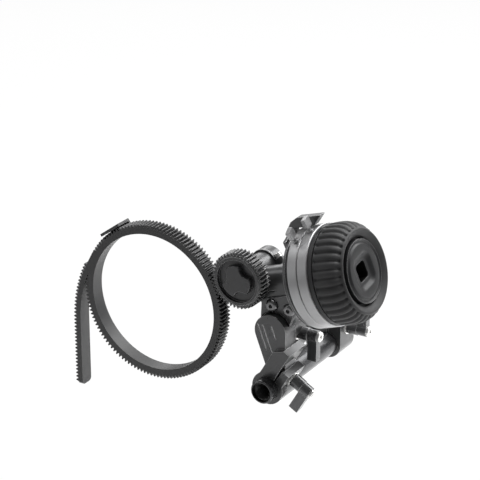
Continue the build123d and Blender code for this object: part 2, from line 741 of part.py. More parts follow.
# ---------------------------------------------------------------- gear unit: housing
with BuildPart() as gearbox_housing:
    add_bar(barrel_front_plane(barrel_rear), barrel_radius, barrel_rear - barrel_front,
            edge_break)
    add_bar(wheel_section_left(boss_right), boss_radius, boss_right - boss_left, edge_break)
    block = unit_front(housing_rear, gear_offset)
    block_span = (boss_left, boss_right - block_inset)
    add_box(block, block_span, (wheel_rise - boss_radius, housing_floor), 2 * boss_radius,
            mode=Mode.SUBTRACT)
    add_box(block, (boss_left + edge_break, block_span[1]), (housing_floor, wheel_rise),
            2 * boss_radius)
    add_disc(barrel_front_plane(barrel_rear), bush_radius, barrel_rear - barrel_front,
             mode=Mode.SUBTRACT)
    add_disc(wheel_section(bore_left_end), bush_radius, boss_right - bore_left_end,
             mode=Mode.SUBTRACT)
    with BuildSketch(unit_front(housing_front, *slit_place)):
        Rectangle(*slit_size)
    extrude(amount=-slit_depth, mode=Mode.SUBTRACT)
    for right in bracket_screw_places:
        with Locations(bracket_screw_plane(right).offset(-stem_flange_thickness)):
            Hole(bracket_screw_radius, depth=bracket_screw_grip)
    with Locations(wheel_section(boss_right)):
        with PolarLocations(flange_screw_circle, 4):
            Hole(small_screw_radius, depth=small_screw_grip)
write(gearbox_housing.part, "gearbox_housing")

cover_face = Plane(origin=gear_axis + Vector(0, barrel_rear + cover_thickness, 0),
                   x_dir=across * -1, z_dir=(0, 1, 0))
with BuildPart() as rear_cover:
    add_disc(cover_face.offset(-cover_thickness - cover_spigot), bush_radius, cover_spigot)
    add_bar(cover_face.offset(-cover_thickness), barrel_radius, cover_thickness, fine_break)
    with Locations(cover_face):
        with Locations((-cover_key_hole_offset, 0), (cover_key_hole_offset, 0)):
            Hole(cover_key_hole_radius, depth=cover_key_hole_depth)
write(rear_cover.part, "rear_cover")

ear_outward = across * cos(radians(ear_angle)) + upward * sin(radians(ear_angle))
ear_upward = upward * cos(radians(ear_angle)) - across * sin(radians(ear_angle))
ear_seat = Plane(                # under the screw's head, its normal along the screw
    origin=(gear_axis + ear_outward * ear_offset - ear_upward * ear_drop
            + Vector(0, collar_front + ear_radius, 0)),
    x_dir=ear_outward, z_dir=ear_upward)
with BuildPart() as rear_collar:
    collar_plane = barrel_front_plane(collar_rear)
    add_disc(collar_plane, barrel_radius + collar_wall, collar_rear - collar_front)
    add_disc(ear_seat, ear_radius, -ear_length)
    add_box(ear_seat, (-collar_wall - ear_radius, 0), (-ear_radius, ear_radius), -ear_length)
    add_disc(collar_plane, barrel_radius, collar_rear - collar_front, mode=Mode.SUBTRACT)
    add_disc(ear_seat, collar_screw_radius, -ear_length, mode=Mode.SUBTRACT)
write(rear_collar.part, "rear_collar")

with BuildPart() as collar_screw:
    add_bar(ear_seat, collar_screw_head_radius, collar_screw_head_height, fine_break)
    add_disc(ear_seat, collar_screw_radius, -ear_length)
    cut_hex(ear_seat.offset(collar_screw_head_height), *collar_screw_key)
write(collar_screw.part, "collar_screw")

with BuildPart() as drive_bushes:
    for bush_rear in (barrel_front + bush_length, drive_bush_rear):
        add_ring(barrel_front_plane(bush_rear), shaft_radius + running_fit, bush_radius,
                 bush_length)
write(drive_bushes.part, "drive_bushes")

with BuildPart() as wheel_bushes:
    for bush_start in (bore_left_end, boss_right - bush_length):
        add_ring(wheel_section(bush_start), shaft_radius + running_fit, bush_radius, bush_length)
write(wheel_bushes.part, "wheel_bushes")

# ---------------------------------------------------------------- gear unit: index flange
pointer_face = boss_right - pointer_foot


def lobe_point(radius, angle):
    """Point beside the index flange, from its radius and its angle towards the front."""
    return (radius * sin(radians(angle)), radius * cos(radians(angle)))


with BuildPart() as index_flange:
    add_disc(wheel_section(boss_right), index_flange_radius, index_flange_thickness)
    chamfer(index_flange.edges().filter_by(GeomType.CIRCLE), edge_break)
    add_disc(wheel_section(boss_right), shaft_radius + face_gap, index_flange_thickness,
             mode=Mode.SUBTRACT)
    flush_holes(wheel_section(index_flange_end), small_screw_radius, flange_screw_circle, 4)
    with Locations(wheel_section_left(boss_right)):
        with Locations(*pointer_screw_places):
            Hole(pointer_screw_radius, depth=pointer_screw_grip)
write(index_flange.part, "index_flange")

with BuildPart() as flange_screws:
    flush_screws(wheel_section(index_flange_end), small_screw_radius,
                 index_flange_thickness + small_screw_grip - screw_gap, flange_screw_circle, 4)
write(flange_screws.part, "flange_screws")

with BuildPart() as pointer:
    with BuildSketch(wheel_profile.offset(-pointer_thickness / 2)):
        with BuildLine():
            Polyline(
                (pointer_face, pointer_foot_bottom), (boss_right, pointer_foot_bottom),
                (boss_right, pointer_underside), (pointer_beak, pointer_underside),
                (pointer_tip, pointer_top - pointer_tip_height), (ring_start, pointer_top),
                (boss_right - pointer_shoulder[0], pointer_top - pointer_shoulder[1]),
                (pointer_face, pointer_underside), close=True)
        make_face()
    extrude(amount=pointer_thickness)
    fillet(pointer.edges().filter_by(Axis.Y), fine_break)
    half_thickness = pointer_thickness / 2
    with BuildSketch(wheel_section_left(boss_right)):
        with BuildLine():
            Polyline(
                (0, pointer_foot_bottom), (0, pointer_underside),
                (half_thickness, pointer_underside), lobe_point(*pointer_lobe_tip),
                lobe_point(*pointer_lobe_end), (half_thickness, pointer_foot_bottom), close=True)
        make_face()
    extrude(amount=pointer_lobe)
    with Locations(wheel_section_left(pointer_face)):
        with Locations(*pointer_screw_places):
            CounterBoreHole(pointer_screw_radius + running_fit,
                            pointer_screw_head_radius + running_fit, pointer_screw_sink)
write(pointer.part, "pointer")

with BuildPart() as pointer_screws:
    pointer_seat = wheel_section_left(pointer_face + pointer_screw_sink)
    add_disc(pointer_seat, pointer_screw_head_radius, pointer_screw_head_height,
             pointer_screw_places)
    add_disc(pointer_seat, pointer_screw_radius,
             pointer_screw_sink - pointer_foot - pointer_screw_grip + screw_gap,
             pointer_screw_places)
write(pointer_screws.part, "pointer_screws")

# ---------------------------------------------------------------- drive gear
def tooth_points(teeth, pitch_radius, addendum, dedendum, backlash, turn, helix=0.0):
    """Straight-flanked teeth round an axis, with one tooth centred on `turn` degrees."""
    slope = tan(radians(pressure_angle)) / cos(radians(helix))
    tip_radius = pitch_radius + addendum
    root_radius = pitch_radius - dedendum
    half_pitch = (pi * pitch_radius / teeth - backlash) / 2
    half_tip = half_pitch - addendum * slope
    half_root = half_pitch + dedendum * slope
    points = []
    for tooth in range(teeth):
        middle = radians(turn) + 2 * pi * tooth / teeth
        for radius, half in ((root_radius, -half_root), (tip_radius, -half_tip),
                             (tip_radius, half_tip), (root_radius, half_root)):
            angle = middle + half / radius
            points.append((radius * cos(angle), radius * sin(angle)))
    return points


def toothed_blank(plane, depth, teeth, pitch_radius, turn):
    """Inside a part: a straight-toothed gear blank extruded off its plane."""
    with BuildSketch(plane) as blank:
        with BuildLine():
            Polyline(*tooth_points(teeth, pitch_radius, gear_module, 1.25 * gear_module,
                                   tooth_backlash, turn), close=True)
        make_face()
    extrude(blank.sketch, amount=depth)


gear_level = facing_front(gear_rear, gear_axis)
gear_rim_front = gear_front - gear_rim_height
recess_floor = gear_rim_front + gear_recess_depth
with BuildPart() as drive_gear:
    toothed_blank(gear_level, gear_width, drive_teeth, drive_pitch_radius, mesh_angle + 180)
    add_disc(gear_level.offset(gear_width), gear_rim_radius, gear_rim_height)
    chamfer(drive_gear.faces().sort_by(Axis.Y)[0].edges(), fine_break)
    add_disc(facing_front(recess_floor, gear_axis), gear_recess_radius, gear_recess_depth,
             mode=Mode.SUBTRACT)
    add_disc(gear_level, shaft_radius, gear_width, mode=Mode.SUBTRACT)
write(drive_gear.part, "drive_gear")

with BuildPart() as gear_knob:
    with BuildSketch(facing_front(recess_floor, gear_axis)):
        Circle(knob_radius)
        with PolarLocations(knob_radius + knob_scallop_radius - knob_scallop_depth, 3,
                            start_angle=knob_turn):
            Circle(knob_scallop_radius, mode=Mode.SUBTRACT)
        fillet(vertices(), knob_corner)
    extrude(amount=knob_height)
    fillet(gear_knob.faces().sort_by(Axis.Y)[0].edges(), edge_break)
    add_disc(facing_front(gear_front, gear_axis), shaft_radius, gear_front - recess_floor,
             mode=Mode.SUBTRACT)
write(gear_knob.part, "gear_knob")

with BuildPart() as drive_shaft:
    add_disc(facing_front(drive_shaft_rear, gear_axis), shaft_radius,
             drive_shaft_rear - recess_floor)
    chamfer(drive_shaft.edges().filter_by(GeomType.CIRCLE), fine_break)
write(drive_shaft.part, "drive_shaft")


# ---------------------------------------------------------------- screw gears
def screw_gear(plane, turn, name):
    """Helical gear with left-hand teeth, centred on its plane."""
    with BuildPart() as gear:
        for step in range(screw_gear_sections + 1):
            height = screw_gear_width * (step / screw_gear_sections - 0.5)
            lead = tan(radians(screw_gear_helix)) / screw_gear_pitch_radius
            with BuildSketch(plane.offset(height)):
                with BuildLine():
                    Polyline(*tooth_points(
                        screw_gear_teeth, screw_gear_pitch_radius,
                        screw_gear_addendum * screw_gear_module, 1.25 * screw_gear_module,
                        screw_gear_backlash, turn - degrees(height * lead), screw_gear_helix),
                        close=True)
                make_face()
        loft(ruled=True)
        add_disc(plane.offset(-screw_gear_width / 2), shaft_radius, screw_gear_width,
                 mode=Mode.SUBTRACT)
    write(gear.part, name)


screw_gear(wheel_section(0), 90, "driving_screw_gear")
screw_gear(barrel_front_plane(crossing_y), 270 + 180 / screw_gear_teeth, "driven_screw_gear")

# ---------------------------------------------------------------- handwheel
with BuildPart() as wheel_shaft:
    add_disc(wheel_section(wheel_shaft_left), shaft_radius, shaft_reach - wheel_shaft_left)
    chamfer(wheel_shaft.edges().filter_by(GeomType.CIRCLE), fine_break)
write(wheel_shaft.part, "wheel_shaft")

hub_left = retainer_start + retainer_thickness
socket_start = disc_face - pocket_depth
disc_boss_back = socket_start - socket_depth - disc_boss_floor
with BuildPart() as wheel_hub:
    with BuildSketch(wheel_profile):
        with BuildLine():
            Polyline(
                (hub_left, shaft_radius), (hub_left, hub_seat_radius),
                (hub_step_start, hub_seat_radius), (hub_step_start, hub_step_radius),
                (grip_start, hub_step_radius), (grip_start, grip_seat_radius),
                (hub_end, grip_seat_radius), (hub_end, disc_boss_radius),
                (disc_boss_back, disc_boss_radius), (disc_boss_back, 0), (shaft_reach, 0),
                (shaft_reach, shaft_radius), close=True)
        make_face()
    revolve(axis=wheel_axis)
    with Locations(wheel_section_left(hub_left)):
        with PolarLocations(retainer_screw_circle, 4):
            Hole(small_screw_radius, depth=small_screw_grip)
write(wheel_hub.part, "wheel_hub")

with BuildPart() as ring_retainer:
    add_ring(wheel_section(retainer_start), retainer_bore_radius, retainer_radius,
             retainer_thickness)
    flush_holes(wheel_section_left(retainer_start), small_screw_radius, retainer_screw_circle, 4,
                head_ratio=1.6)
write(ring_retainer.part, "ring_retainer")

with BuildPart() as hub_screws:
    flush_screws(wheel_section_left(retainer_start), small_screw_radius,
                 retainer_thickness + small_screw_grip - screw_gap, retainer_screw_circle, 4,
                 head_ratio=1.6)
write(hub_screws.part, "hub_screws")

with BuildPart() as rubber_grip:
    with BuildSketch(wheel_profile):
        with BuildLine():
            inside = Polyline(
                (grip_front, grip_front_radius), (grip_front, grip_mouth_radius),
                (hub_end, grip_mouth_radius), (hub_end, grip_seat_radius),
                (grip_start, grip_seat_radius), (grip_start, grip_start_radius))
            Spline(inside @ 1, grip_crown, inside @ 0, tangents=((1, 0.2), (1, -1.6)))
        make_face()
        fillet(vertices().group_by(Axis.X)[-1], edge_break)
    revolve(axis=wheel_axis)
    flute_radius = (flute_width ** 2 / 4 + flute_depth ** 2) / (2 * flute_depth)
    with BuildSketch(wheel_section(grip_start + 1.0)):
        with PolarLocations(grip_crown[1] - flute_depth + flute_radius, grip_flutes):
            Circle(flute_radius)
    extrude(amount=grip_front - grip_start, mode=Mode.SUBTRACT)
write(rubber_grip.part, "rubber_grip")

with BuildPart() as front_disc:
    with BuildSketch(wheel_profile):
        with BuildLine():
            Polyline(
                (disc_boss_back, 0), (disc_boss_back, disc_boss_radius),
                (hub_end, disc_boss_radius), (hub_end, disc_radius),
                (disc_face - disc_rim_drop, disc_radius),
                (disc_face - disc_rim_drop, disc_radius - disc_rim_width),
                (disc_face, disc_radius - disc_rim_width - disc_rim_slope), (disc_face, 0),
                close=True)
        make_face()
    revolve(axis=wheel_axis)
    with BuildSketch(wheel_section(disc_face)):
        RectangleRounded(pocket_size, pocket_size, pocket_corner, rotation=socket_turn)
    extrude(amount=-pocket_depth, taper=pocket_slope, mode=Mode.SUBTRACT)
    with BuildSketch(wheel_section(socket_start)):
        RectangleRounded(socket_size, socket_size, socket_corner, rotation=socket_turn)
    extrude(amount=-socket_depth, mode=Mode.SUBTRACT)
write(front_disc.part, "front_disc")


# ---------------------------------------------------------------- stop rings
def stop_ring(start, screw_angle, name):
    """Hard-stop ring that slips on the hub until its screw is tightened."""
    with BuildPart() as ring:
        add_ring(wheel_section(start), ring_bore_radius, ring_radius, ring_width)
        chamfer(ring.edges().filter_by(GeomType.CIRCLE).group_by(SortBy.RADIUS)[-1], fine_break)
        add_disc(wheel_radial(start + ring_width / 2, screw_angle), stop_stem_radius + running_fit,
                 ring_radius + 1, mode=Mode.SUBTRACT)
    write(ring.part, name)


def stop_screw(start, screw_angle, name):
    """Small flag-headed screw standing out of a stop ring."""
    with BuildPart() as screw:
        stem_foot = wheel_radial(start + ring_width / 2, screw_angle,
                                 ring_bore_radius + face_gap)
        collar_foot = ring_radius - ring_bore_radius - face_gap + running_fit
        flag_foot = collar_foot + stop_collar_height + stop_neck
        add_disc(stem_foot, stop_stem_radius, flag_foot + 1.0)
        add_disc(stem_foot.offset(collar_foot), stop_collar_radius, stop_collar_height)
        add_box(stem_foot.offset(flag_foot), (-flag_thickness / 2, flag_thickness / 2),
                (-flag_width / 2, flag_width / 2), flag_height)
        fillet(screw.edges().filter_by(Axis(stem_foot.origin, stem_foot.x_dir)), flag_corner)
    write(screw.part, name)


stop_ring(ring_start, stop_b_angle, "stop_ring_b")
stop_ring(ring_a_start, stop_a_angle, "stop_ring_a")
stop_screw(ring_start, stop_b_angle, "stop_screw_b")
stop_screw(ring_a_start, stop_a_angle, "stop_screw_a")

# ---------------------------------------------------------------- lens gear belt
belt_rear = belt_front + belt_width
belt_plane = facing_front(belt_rear, lens_axis)
belt_pitch = pi * gear_module
buckle_plane = facing_front(belt_rear, lens_axis, buckle_angle - 90)
buckle_screw_places = [polar(belt_inner_radius + belt_root_wall / 2, 90 + side * buckle_screw_turn)
                       for side in (-1, 1)]
tooth_height = 2.25 * gear_module
tooth_foot = (belt_pitch - tooth_backlash) / 2 + 2.5 * gear_module * tan(radians(pressure_angle))

with BuildLine(Plane.XY) as tail_route:
    tail_bend_end = (-tail_offset, -tail_bend_drop)
    Spline(polar(belt_root_radius, tail_leave_angle), tail_bend_end,
           tangents=(polar(1, tail_leave_angle + 90), (0, -1)))
    Line(tail_bend_end, (-tail_offset, -tail_drop))

with BuildPart() as gear_belt:
    toothed_blank(belt_plane, belt_width, belt_teeth, belt_pitch_radius,
                  mesh_angle + 180 / belt_teeth)
    add_disc(belt_plane, belt_inner_radius, belt_width, mode=Mode.SUBTRACT)
    with BuildSketch(belt_plane):
        trace(tail_route.wire(), tail_wall)
        for tooth in range(tail_first_tooth, int(tail_route.wire().length / belt_pitch)):
            route_point = tail_route.wire() @ (tooth * belt_pitch / tail_route.wire().length)
            heading = tail_route.wire() % (tooth * belt_pitch / tail_route.wire().length)
            outward = Vector(heading.Y, -heading.X)
            turn = degrees(atan2(outward.Y, outward.X)) - 90
            foot = route_point + outward * (tail_wall / 2 - tooth_sink)
            with Locations(Location((foot.X, foot.Y, 0), (0, 0, turn))):
                Trapezoid(tooth_foot, tooth_height + tooth_sink, 90 - pressure_angle,
                          align=(Align.CENTER, Align.MIN))
    extrude(amount=belt_width)
    fillet(gear_belt.edges().filter_by(Axis.X).group_by(Axis.Z)[0], tail_corner)
    add_disc(buckle_plane, buckle_screw_radius, buckle_screw_grip, buckle_screw_places,
             mode=Mode.SUBTRACT)
write(gear_belt.part, "gear_belt")

with BuildPart() as belt_buckle:
    half_length = buckle_length / 2
    add_box(buckle_plane.offset(-buckle_wall), (-half_length, half_length),
            (belt_tip_radius + face_gap, belt_tip_radius + face_gap + buckle_plate),
            belt_width + buckle_wall + buckle_lip)
    add_box(buckle_plane.offset(-buckle_wall), (-half_length, half_length),
            (belt_inner_radius + buckle_foot, belt_tip_radius + face_gap + buckle_plate),
            buckle_wall)
    fillet(belt_buckle.edges().filter_by(Axis(lens_axis, buckle_plane.x_dir)), fine_break)
    add_disc(buckle_plane.offset(-buckle_wall), buckle_screw_radius + running_fit, buckle_wall,
             buckle_screw_places, mode=Mode.SUBTRACT)
write(belt_buckle.part, "belt_buckle")

with BuildPart() as belt_screws:
    buckle_back = buckle_plane.offset(-buckle_wall)
    add_disc(buckle_back, buckle_screw_head_radius, -buckle_screw_head_height, buckle_screw_places)
    add_disc(buckle_back, buckle_screw_radius, buckle_wall + buckle_screw_grip - screw_gap,
             buckle_screw_places)
write(belt_screws.part, "belt_screws")
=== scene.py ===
"""Finishes, fine detail, light and camera for the follow focus unit.

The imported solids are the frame.  Most of them stay and take a finish here; the pieces
that are made here ride on the same bodies and sit where the solids say.
"""
import json
from math import atan2, cos, pi, radians, sqrt

import bmesh
import bpy
from mathutils import Matrix, Vector


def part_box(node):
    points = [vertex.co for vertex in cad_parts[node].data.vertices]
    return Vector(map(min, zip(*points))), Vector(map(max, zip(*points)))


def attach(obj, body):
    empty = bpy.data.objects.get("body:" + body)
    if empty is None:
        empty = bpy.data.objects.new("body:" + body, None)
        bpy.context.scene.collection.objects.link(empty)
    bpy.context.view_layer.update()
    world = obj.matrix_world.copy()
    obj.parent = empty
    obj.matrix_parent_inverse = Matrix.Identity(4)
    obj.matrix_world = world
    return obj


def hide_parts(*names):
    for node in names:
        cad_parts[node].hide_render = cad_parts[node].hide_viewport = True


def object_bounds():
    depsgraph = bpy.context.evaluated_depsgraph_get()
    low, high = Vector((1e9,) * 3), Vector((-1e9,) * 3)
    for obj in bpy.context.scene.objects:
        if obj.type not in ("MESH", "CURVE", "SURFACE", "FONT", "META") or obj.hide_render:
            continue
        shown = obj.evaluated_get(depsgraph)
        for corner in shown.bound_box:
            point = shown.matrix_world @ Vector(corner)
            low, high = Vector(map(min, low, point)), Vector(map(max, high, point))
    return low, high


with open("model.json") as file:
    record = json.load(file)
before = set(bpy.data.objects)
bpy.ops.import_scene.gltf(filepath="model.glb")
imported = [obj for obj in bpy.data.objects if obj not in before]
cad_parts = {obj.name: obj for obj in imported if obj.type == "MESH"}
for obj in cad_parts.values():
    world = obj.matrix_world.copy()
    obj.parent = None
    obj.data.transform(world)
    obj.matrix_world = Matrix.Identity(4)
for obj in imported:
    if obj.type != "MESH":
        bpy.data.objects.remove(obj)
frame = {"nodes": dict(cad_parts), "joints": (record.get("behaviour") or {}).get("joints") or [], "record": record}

cad_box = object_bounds()
MM = 0.001

# Directions, and places in millimetres.
RIGHT = Vector((1.0, 0.0, 0.0))               # away from the cage, to the operator's right
BACKWARD = Vector((0.0, 1.0, 0.0))            # along the rod, away from the subject
UP = Vector((0.0, 0.0, 1.0))
joints = {joint["name"]: joint for joint in frame["joints"]}


def pivot(joint):
    """Place of a joint."""
    return Vector(joints[joint]["pos_m"]) / MM


ACROSS = Vector(joints["handwheel_turn"]["axis"])  # along the handwheel axis, rightwards
UPWARD = Vector((-ACROSS.z, 0.0, ACROSS.x))   # square to it
WHEEL = pivot("handwheel_turn")               # on the handwheel axis, under the drive gear
ROD = pivot("arm_swing")                      # on the rod's axis
GEAR = pivot("drive_turn")                    # on the drive gear's axis
GEAR.y = 0.0


# ------------------------------------------------------------------ finishes
# painted shade: black put as colour deep in bores, in a recess and in creases
PAINTED_SHADE_BLACK = (0.004, 0.004, 0.004)          # shade deep in bores and creases
# painted highlight: light grey put on the floors of the knuckle's grooves
PAINTED_HIGHLIGHT_GREY = (0.75, 0.75, 0.755)
BEVEL_SAMPLES = 4
EDGE_CONTRAST = 6.0                           # how sharply an edge stands out from flat ground
# edges are lightened partly as wear and partly as painted highlight; this is the least of it
LEAST_WEAR_AND_GLINT = 0.4                               # wear of an edge in the places that are rubbed least
PATCH_MM = 9.0                                # size of the uneven patches on a plain surface
TURNED_PATCH_MM = 7.0                         # the same on a turned one
TURNED_LINE_MM = 0.12                         # spacing of the lines that a lathe leaves
TURNED_GRAIN_MM = 0.2
TURNED_EDGE_MM = 0.25                         # radius of a turned piece's edges
TURNED_BUMP_MM = 0.004
TURNED_GLOSS_SPREAD = 0.06                    # change of roughness from patch to patch
# painted shade: a bore is coloured black inside its radius; this is the width of the fade
BORE_SHADE_BLUR_MM = 0.25                           # width over which a bore turns black


class Finish:
    """One material and the shader nodes that are added to it."""

    def __init__(self, name):
        self.material = bpy.data.materials.new(name)
        self.material.use_nodes = True
        self.tree = self.material.node_tree
        self.tree.nodes.clear()
        self.output = self.tree.nodes.new("ShaderNodeOutputMaterial")

    def node(self, kind, settings=None, out=0, **values):
        """Add a node: its settings first, then the value or link of each socket.

        A socket is given by its name, or by its number after an underscore.
        """
        made = self.tree.nodes.new(kind)
        for key, value in (settings or {}).items():
            setattr(made, key, value)
        for key, value in values.items():
            place = int(key[1:]) if key[1:].isdigit() else key.replace("_", " ")
            self.feed(made.inputs[place], value)
        return Signal(self, made.outputs[out])

    def feed(self, socket, value):
        """Link a signal to a socket, or give the socket a plain value."""
        if isinstance(value, Signal):
            self.tree.links.new(value.socket, socket)
        elif isinstance(value, tuple) and socket.type == "RGBA" and len(value) == 3:
            socket.default_value = (*value, 1.0)
        else:
            socket.default_value = value

    def vector_maths(self, operation, first, second, out="Vector"):
        """Vector arithmetic on two signals or vectors."""
        return self.node("ShaderNodeVectorMath", {"operation": operation}, out=out,
                         _0=first, _1=second)

    def place(self):
        """Position in the object's own frame, in metres."""
        return self.node("ShaderNodeTexCoord", out="Object")

    def grain(self, size_mm, detail=2.0):
        """Soft noise from 0 to 1, with features of about the given size."""
        return self.node("ShaderNodeTexNoise", out="Fac", Vector=self.place(),
                         Scale=1.0 / (size_mm * MM), Detail=detail)

    def along(self, direction, origin):
        """Distance in millimetres from a point, along a direction."""
        offset = self.vector_maths("SUBTRACT", self.place(), tuple(origin * MM))
        return self.vector_maths("DOT_PRODUCT", offset, tuple(direction / MM), "Value")

    def away(self, axis, origin):
        """Distance in millimetres from an axis through a point."""
        offset = self.vector_maths("SUBTRACT", self.place(), tuple(origin * MM))
        span = self.vector_maths("CROSS_PRODUCT", offset, tuple(axis / MM))
        return self.node("ShaderNodeVectorMath", {"operation": "LENGTH"}, out="Value", _0=span)

    def blend(self, mask, low, high):
        """Mix two colours by a mask; they are sockets 6 and 7 of the node."""
        return self.node("ShaderNodeMix", {"data_type": "RGBA"}, out=2, _0=mask, _6=low, _7=high)

    def rounded(self, edge_mm):
        """Normal with every edge softened to the given radius."""
        return self.node("ShaderNodeBevel", {"samples": BEVEL_SAMPLES}, Radius=edge_mm * MM)

    def edge_wear_and_glint(self, rounded, broad, amount):
        """Mask of the edges that are lightened, partly as wear and partly as painted highlight; heavier where the
        broad noise is high.
        """
        straight = self.node("ShaderNodeNewGeometry", out="Normal")
        agreement = self.vector_maths("DOT_PRODUCT", rounded, straight, "Value")
        return ((1.0 - agreement) * EDGE_CONTRAST).clamped() * (amount * (LEAST_WEAR_AND_GLINT + broad))

    def bump(self, height, depth_mm, normal, strength):
        """Fine relief on top of a normal."""
        return self.node("ShaderNodeBump", Strength=strength, Distance=depth_mm * MM,
                         Height=height, Normal=normal)

    def surface(self, **values):
        """Finish off with a surface shader, and give the material."""
        shader = self.node("ShaderNodeBsdfPrincipled", **values)
        self.tree.links.new(shader.socket, self.output.inputs["Surface"])
        return self.material


class Signal:
    """A shader socket that takes part in Python arithmetic."""

    def __init__(self, finish, socket):
        self.finish, self.socket = finish, socket

    def maths(self, operation, *others, clamp=False):
        """Add a Math node that works on this signal and the others."""
        values = {f"_{i}": v for i, v in enumerate((self, *others))}
        return self.finish.node("ShaderNodeMath",
                                {"operation": operation, "use_clamp": clamp}, **values)

    def __add__(self, other):
        return self.maths("ADD", other)

    def __sub__(self, other):
        return self.maths("SUBTRACT", other)

    def __rsub__(self, other):
        return (self * -1.0) + other

    def __mul__(self, other):
        return self.maths("MULTIPLY", other)

    def __truediv__(self, other):
        return self.maths("DIVIDE", other)

    def clamped(self):
        """The signal kept between 0 and 1."""
        return self.maths("ADD", 0.0, clamp=True)

    def stretched(self):
        """The signal with twice the contrast about its middle, 0.5."""
        return (self - 0.5) * 2.0 + 0.5

    __radd__, __rmul__ = __add__, __mul__


def shades(colour, spread):
    """Darker and lighter companion of a colour."""
    return tuple(tuple(share * value for value in colour) for share in (1.0 - spread, 1.0 + spread))


def plain(name, colour, shade=0.2, gloss=0.4, gloss_spread=0.08, metallic=0.0, grain_mm=0.25,
          bump_mm=0.01, wear_and_glint=0.0, wear_and_glint_colour=(0.3, 0.3, 0.3), edge_mm=0.3, specular=0.5,
          painted_crease_shade=0.0, painted_highlight=None):
    """Painted, anodised or moulded surface with fine grain, uneven gloss, and edges lightened partly as wear and
    partly as painted highlight.

    The creases can be darkened with painted shade, and a rule can give a mask of places painted light grey as a
    painted highlight.
    """
    finish = Finish(name)
    fine = finish.grain(grain_mm, detail=3.0)
    broad = finish.grain(PATCH_MM, detail=3.0)
    rounded = finish.rounded(edge_mm)
    mottled = finish.blend(((fine + broad) * 0.5).stretched(), *shades(colour, shade))
    # edges lighter, partly as wear and partly as painted highlight
    coloured = finish.blend(finish.edge_wear_and_glint(rounded, broad, wear_and_glint), mottled, wear_and_glint_colour)
    # painted highlight: light grey where the rule's mask is high
    if painted_highlight:
        coloured = finish.blend(painted_highlight(finish), coloured, PAINTED_HIGHLIGHT_GREY)
    # painted shade: darker where the surface is hollow, in creases
    if painted_crease_shade:
        crease_shade_mask = (0.5 - finish.node("ShaderNodeNewGeometry", out="Pointiness")) * painted_crease_shade
        coloured = finish.blend(crease_shade_mask.clamped(), coloured, PAINTED_SHADE_BLACK)
    return finish.surface(
        Base_Color=coloured, Metallic=metallic, Specular_IOR_Level=specular,
        Roughness=gloss + (broad - 0.5) * (2.0 * gloss_spread),
        Normal=finish.bump(fine, bump_mm, rounded, strength=0.5))


def turned_metal(name, colour, axis, origin, metallic, gloss, streak=0.25, wear_and_glint=0.2,
                 wear_and_glint_colour=(0.5, 0.5, 0.5), specular=0.5, shaded_recess_mm=None, shaded_bore_mm=None):
    """Lathe-turned metal: hair-fine lines round its axis, with painted shade: black inside a recess or a bore.

    The recess is painted black up to its place along the axis, and the bore is painted black within its radius,
    both as painted shade.
    """
    finish = Finish(name)
    offset = finish.along(axis, origin)
    radius = finish.away(axis, origin)
    lines = finish.node("ShaderNodeTexNoise", {"noise_dimensions": "2D"}, out="Fac",
                        Vector=finish.node("ShaderNodeCombineXYZ", X=offset, Y=radius),
                        Scale=1.0 / TURNED_LINE_MM, Detail=3.0, Roughness=0.6)
    fine = finish.grain(TURNED_GRAIN_MM)
    broad = finish.grain(TURNED_PATCH_MM, detail=3.0)
    rounded = finish.rounded(TURNED_EDGE_MM)
    streaked = finish.blend((lines * 0.6 + broad * 0.4).stretched(), *shades(colour, streak))
    # edges lighter, partly as wear and partly as painted highlight
    coloured = finish.blend(finish.edge_wear_and_glint(rounded, broad, wear_and_glint), streaked, wear_and_glint_colour)
    # painted shade: black inside the recess
    if shaded_recess_mm is not None:
        coloured = finish.blend((offset - shaded_recess_mm).clamped(), PAINTED_SHADE_BLACK, coloured)
    # painted shade: black within the bore's radius
    if shaded_bore_mm is not None:
        outside_bore_shade = ((radius - shaded_bore_mm) / BORE_SHADE_BLUR_MM).clamped()
        coloured = finish.blend(outside_bore_shade, PAINTED_SHADE_BLACK, coloured)
    return finish.surface(
        Base_Color=coloured, Metallic=metallic, Specular_IOR_Level=specular,
        Roughness=gloss + (broad - 0.5) * (2.0 * TURNED_GLOSS_SPREAD),
        Normal=finish.bump(lines + fine * 0.4, TURNED_BUMP_MM, rounded, strength=0.6))


GROOVES_END = Vector((19.5, -26.35, 0.0))     # right of the knuckle's grooves, on their floors
FLOOR_FOCUS = 8.0                             # the mask fades within 0.35 mm of the floors
GROOVE_FADE_MM = 0.5


def groove_floor_highlight(finish):
    """Mask of the floors of the three grooves in the arm's knuckle, where light grey is painted as a painted
    highlight.
    """
    depth = finish.along(BACKWARD, GROOVES_END)
    leftward = finish.along(-RIGHT, GROOVES_END)
    return (1.0 - depth * depth * FLOOR_FOCUS).clamped() * (leftward / GROOVE_FADE_MM).clamped()


BLACK_ANODISED = {"colour": (0.078, 0.0785, 0.080), "gloss": 0.30, "metallic": 0.55,
                  "wear_and_glint": 1.2, "wear_and_glint_colour": (0.55, 0.55, 0.555), "edge_mm": 0.45}

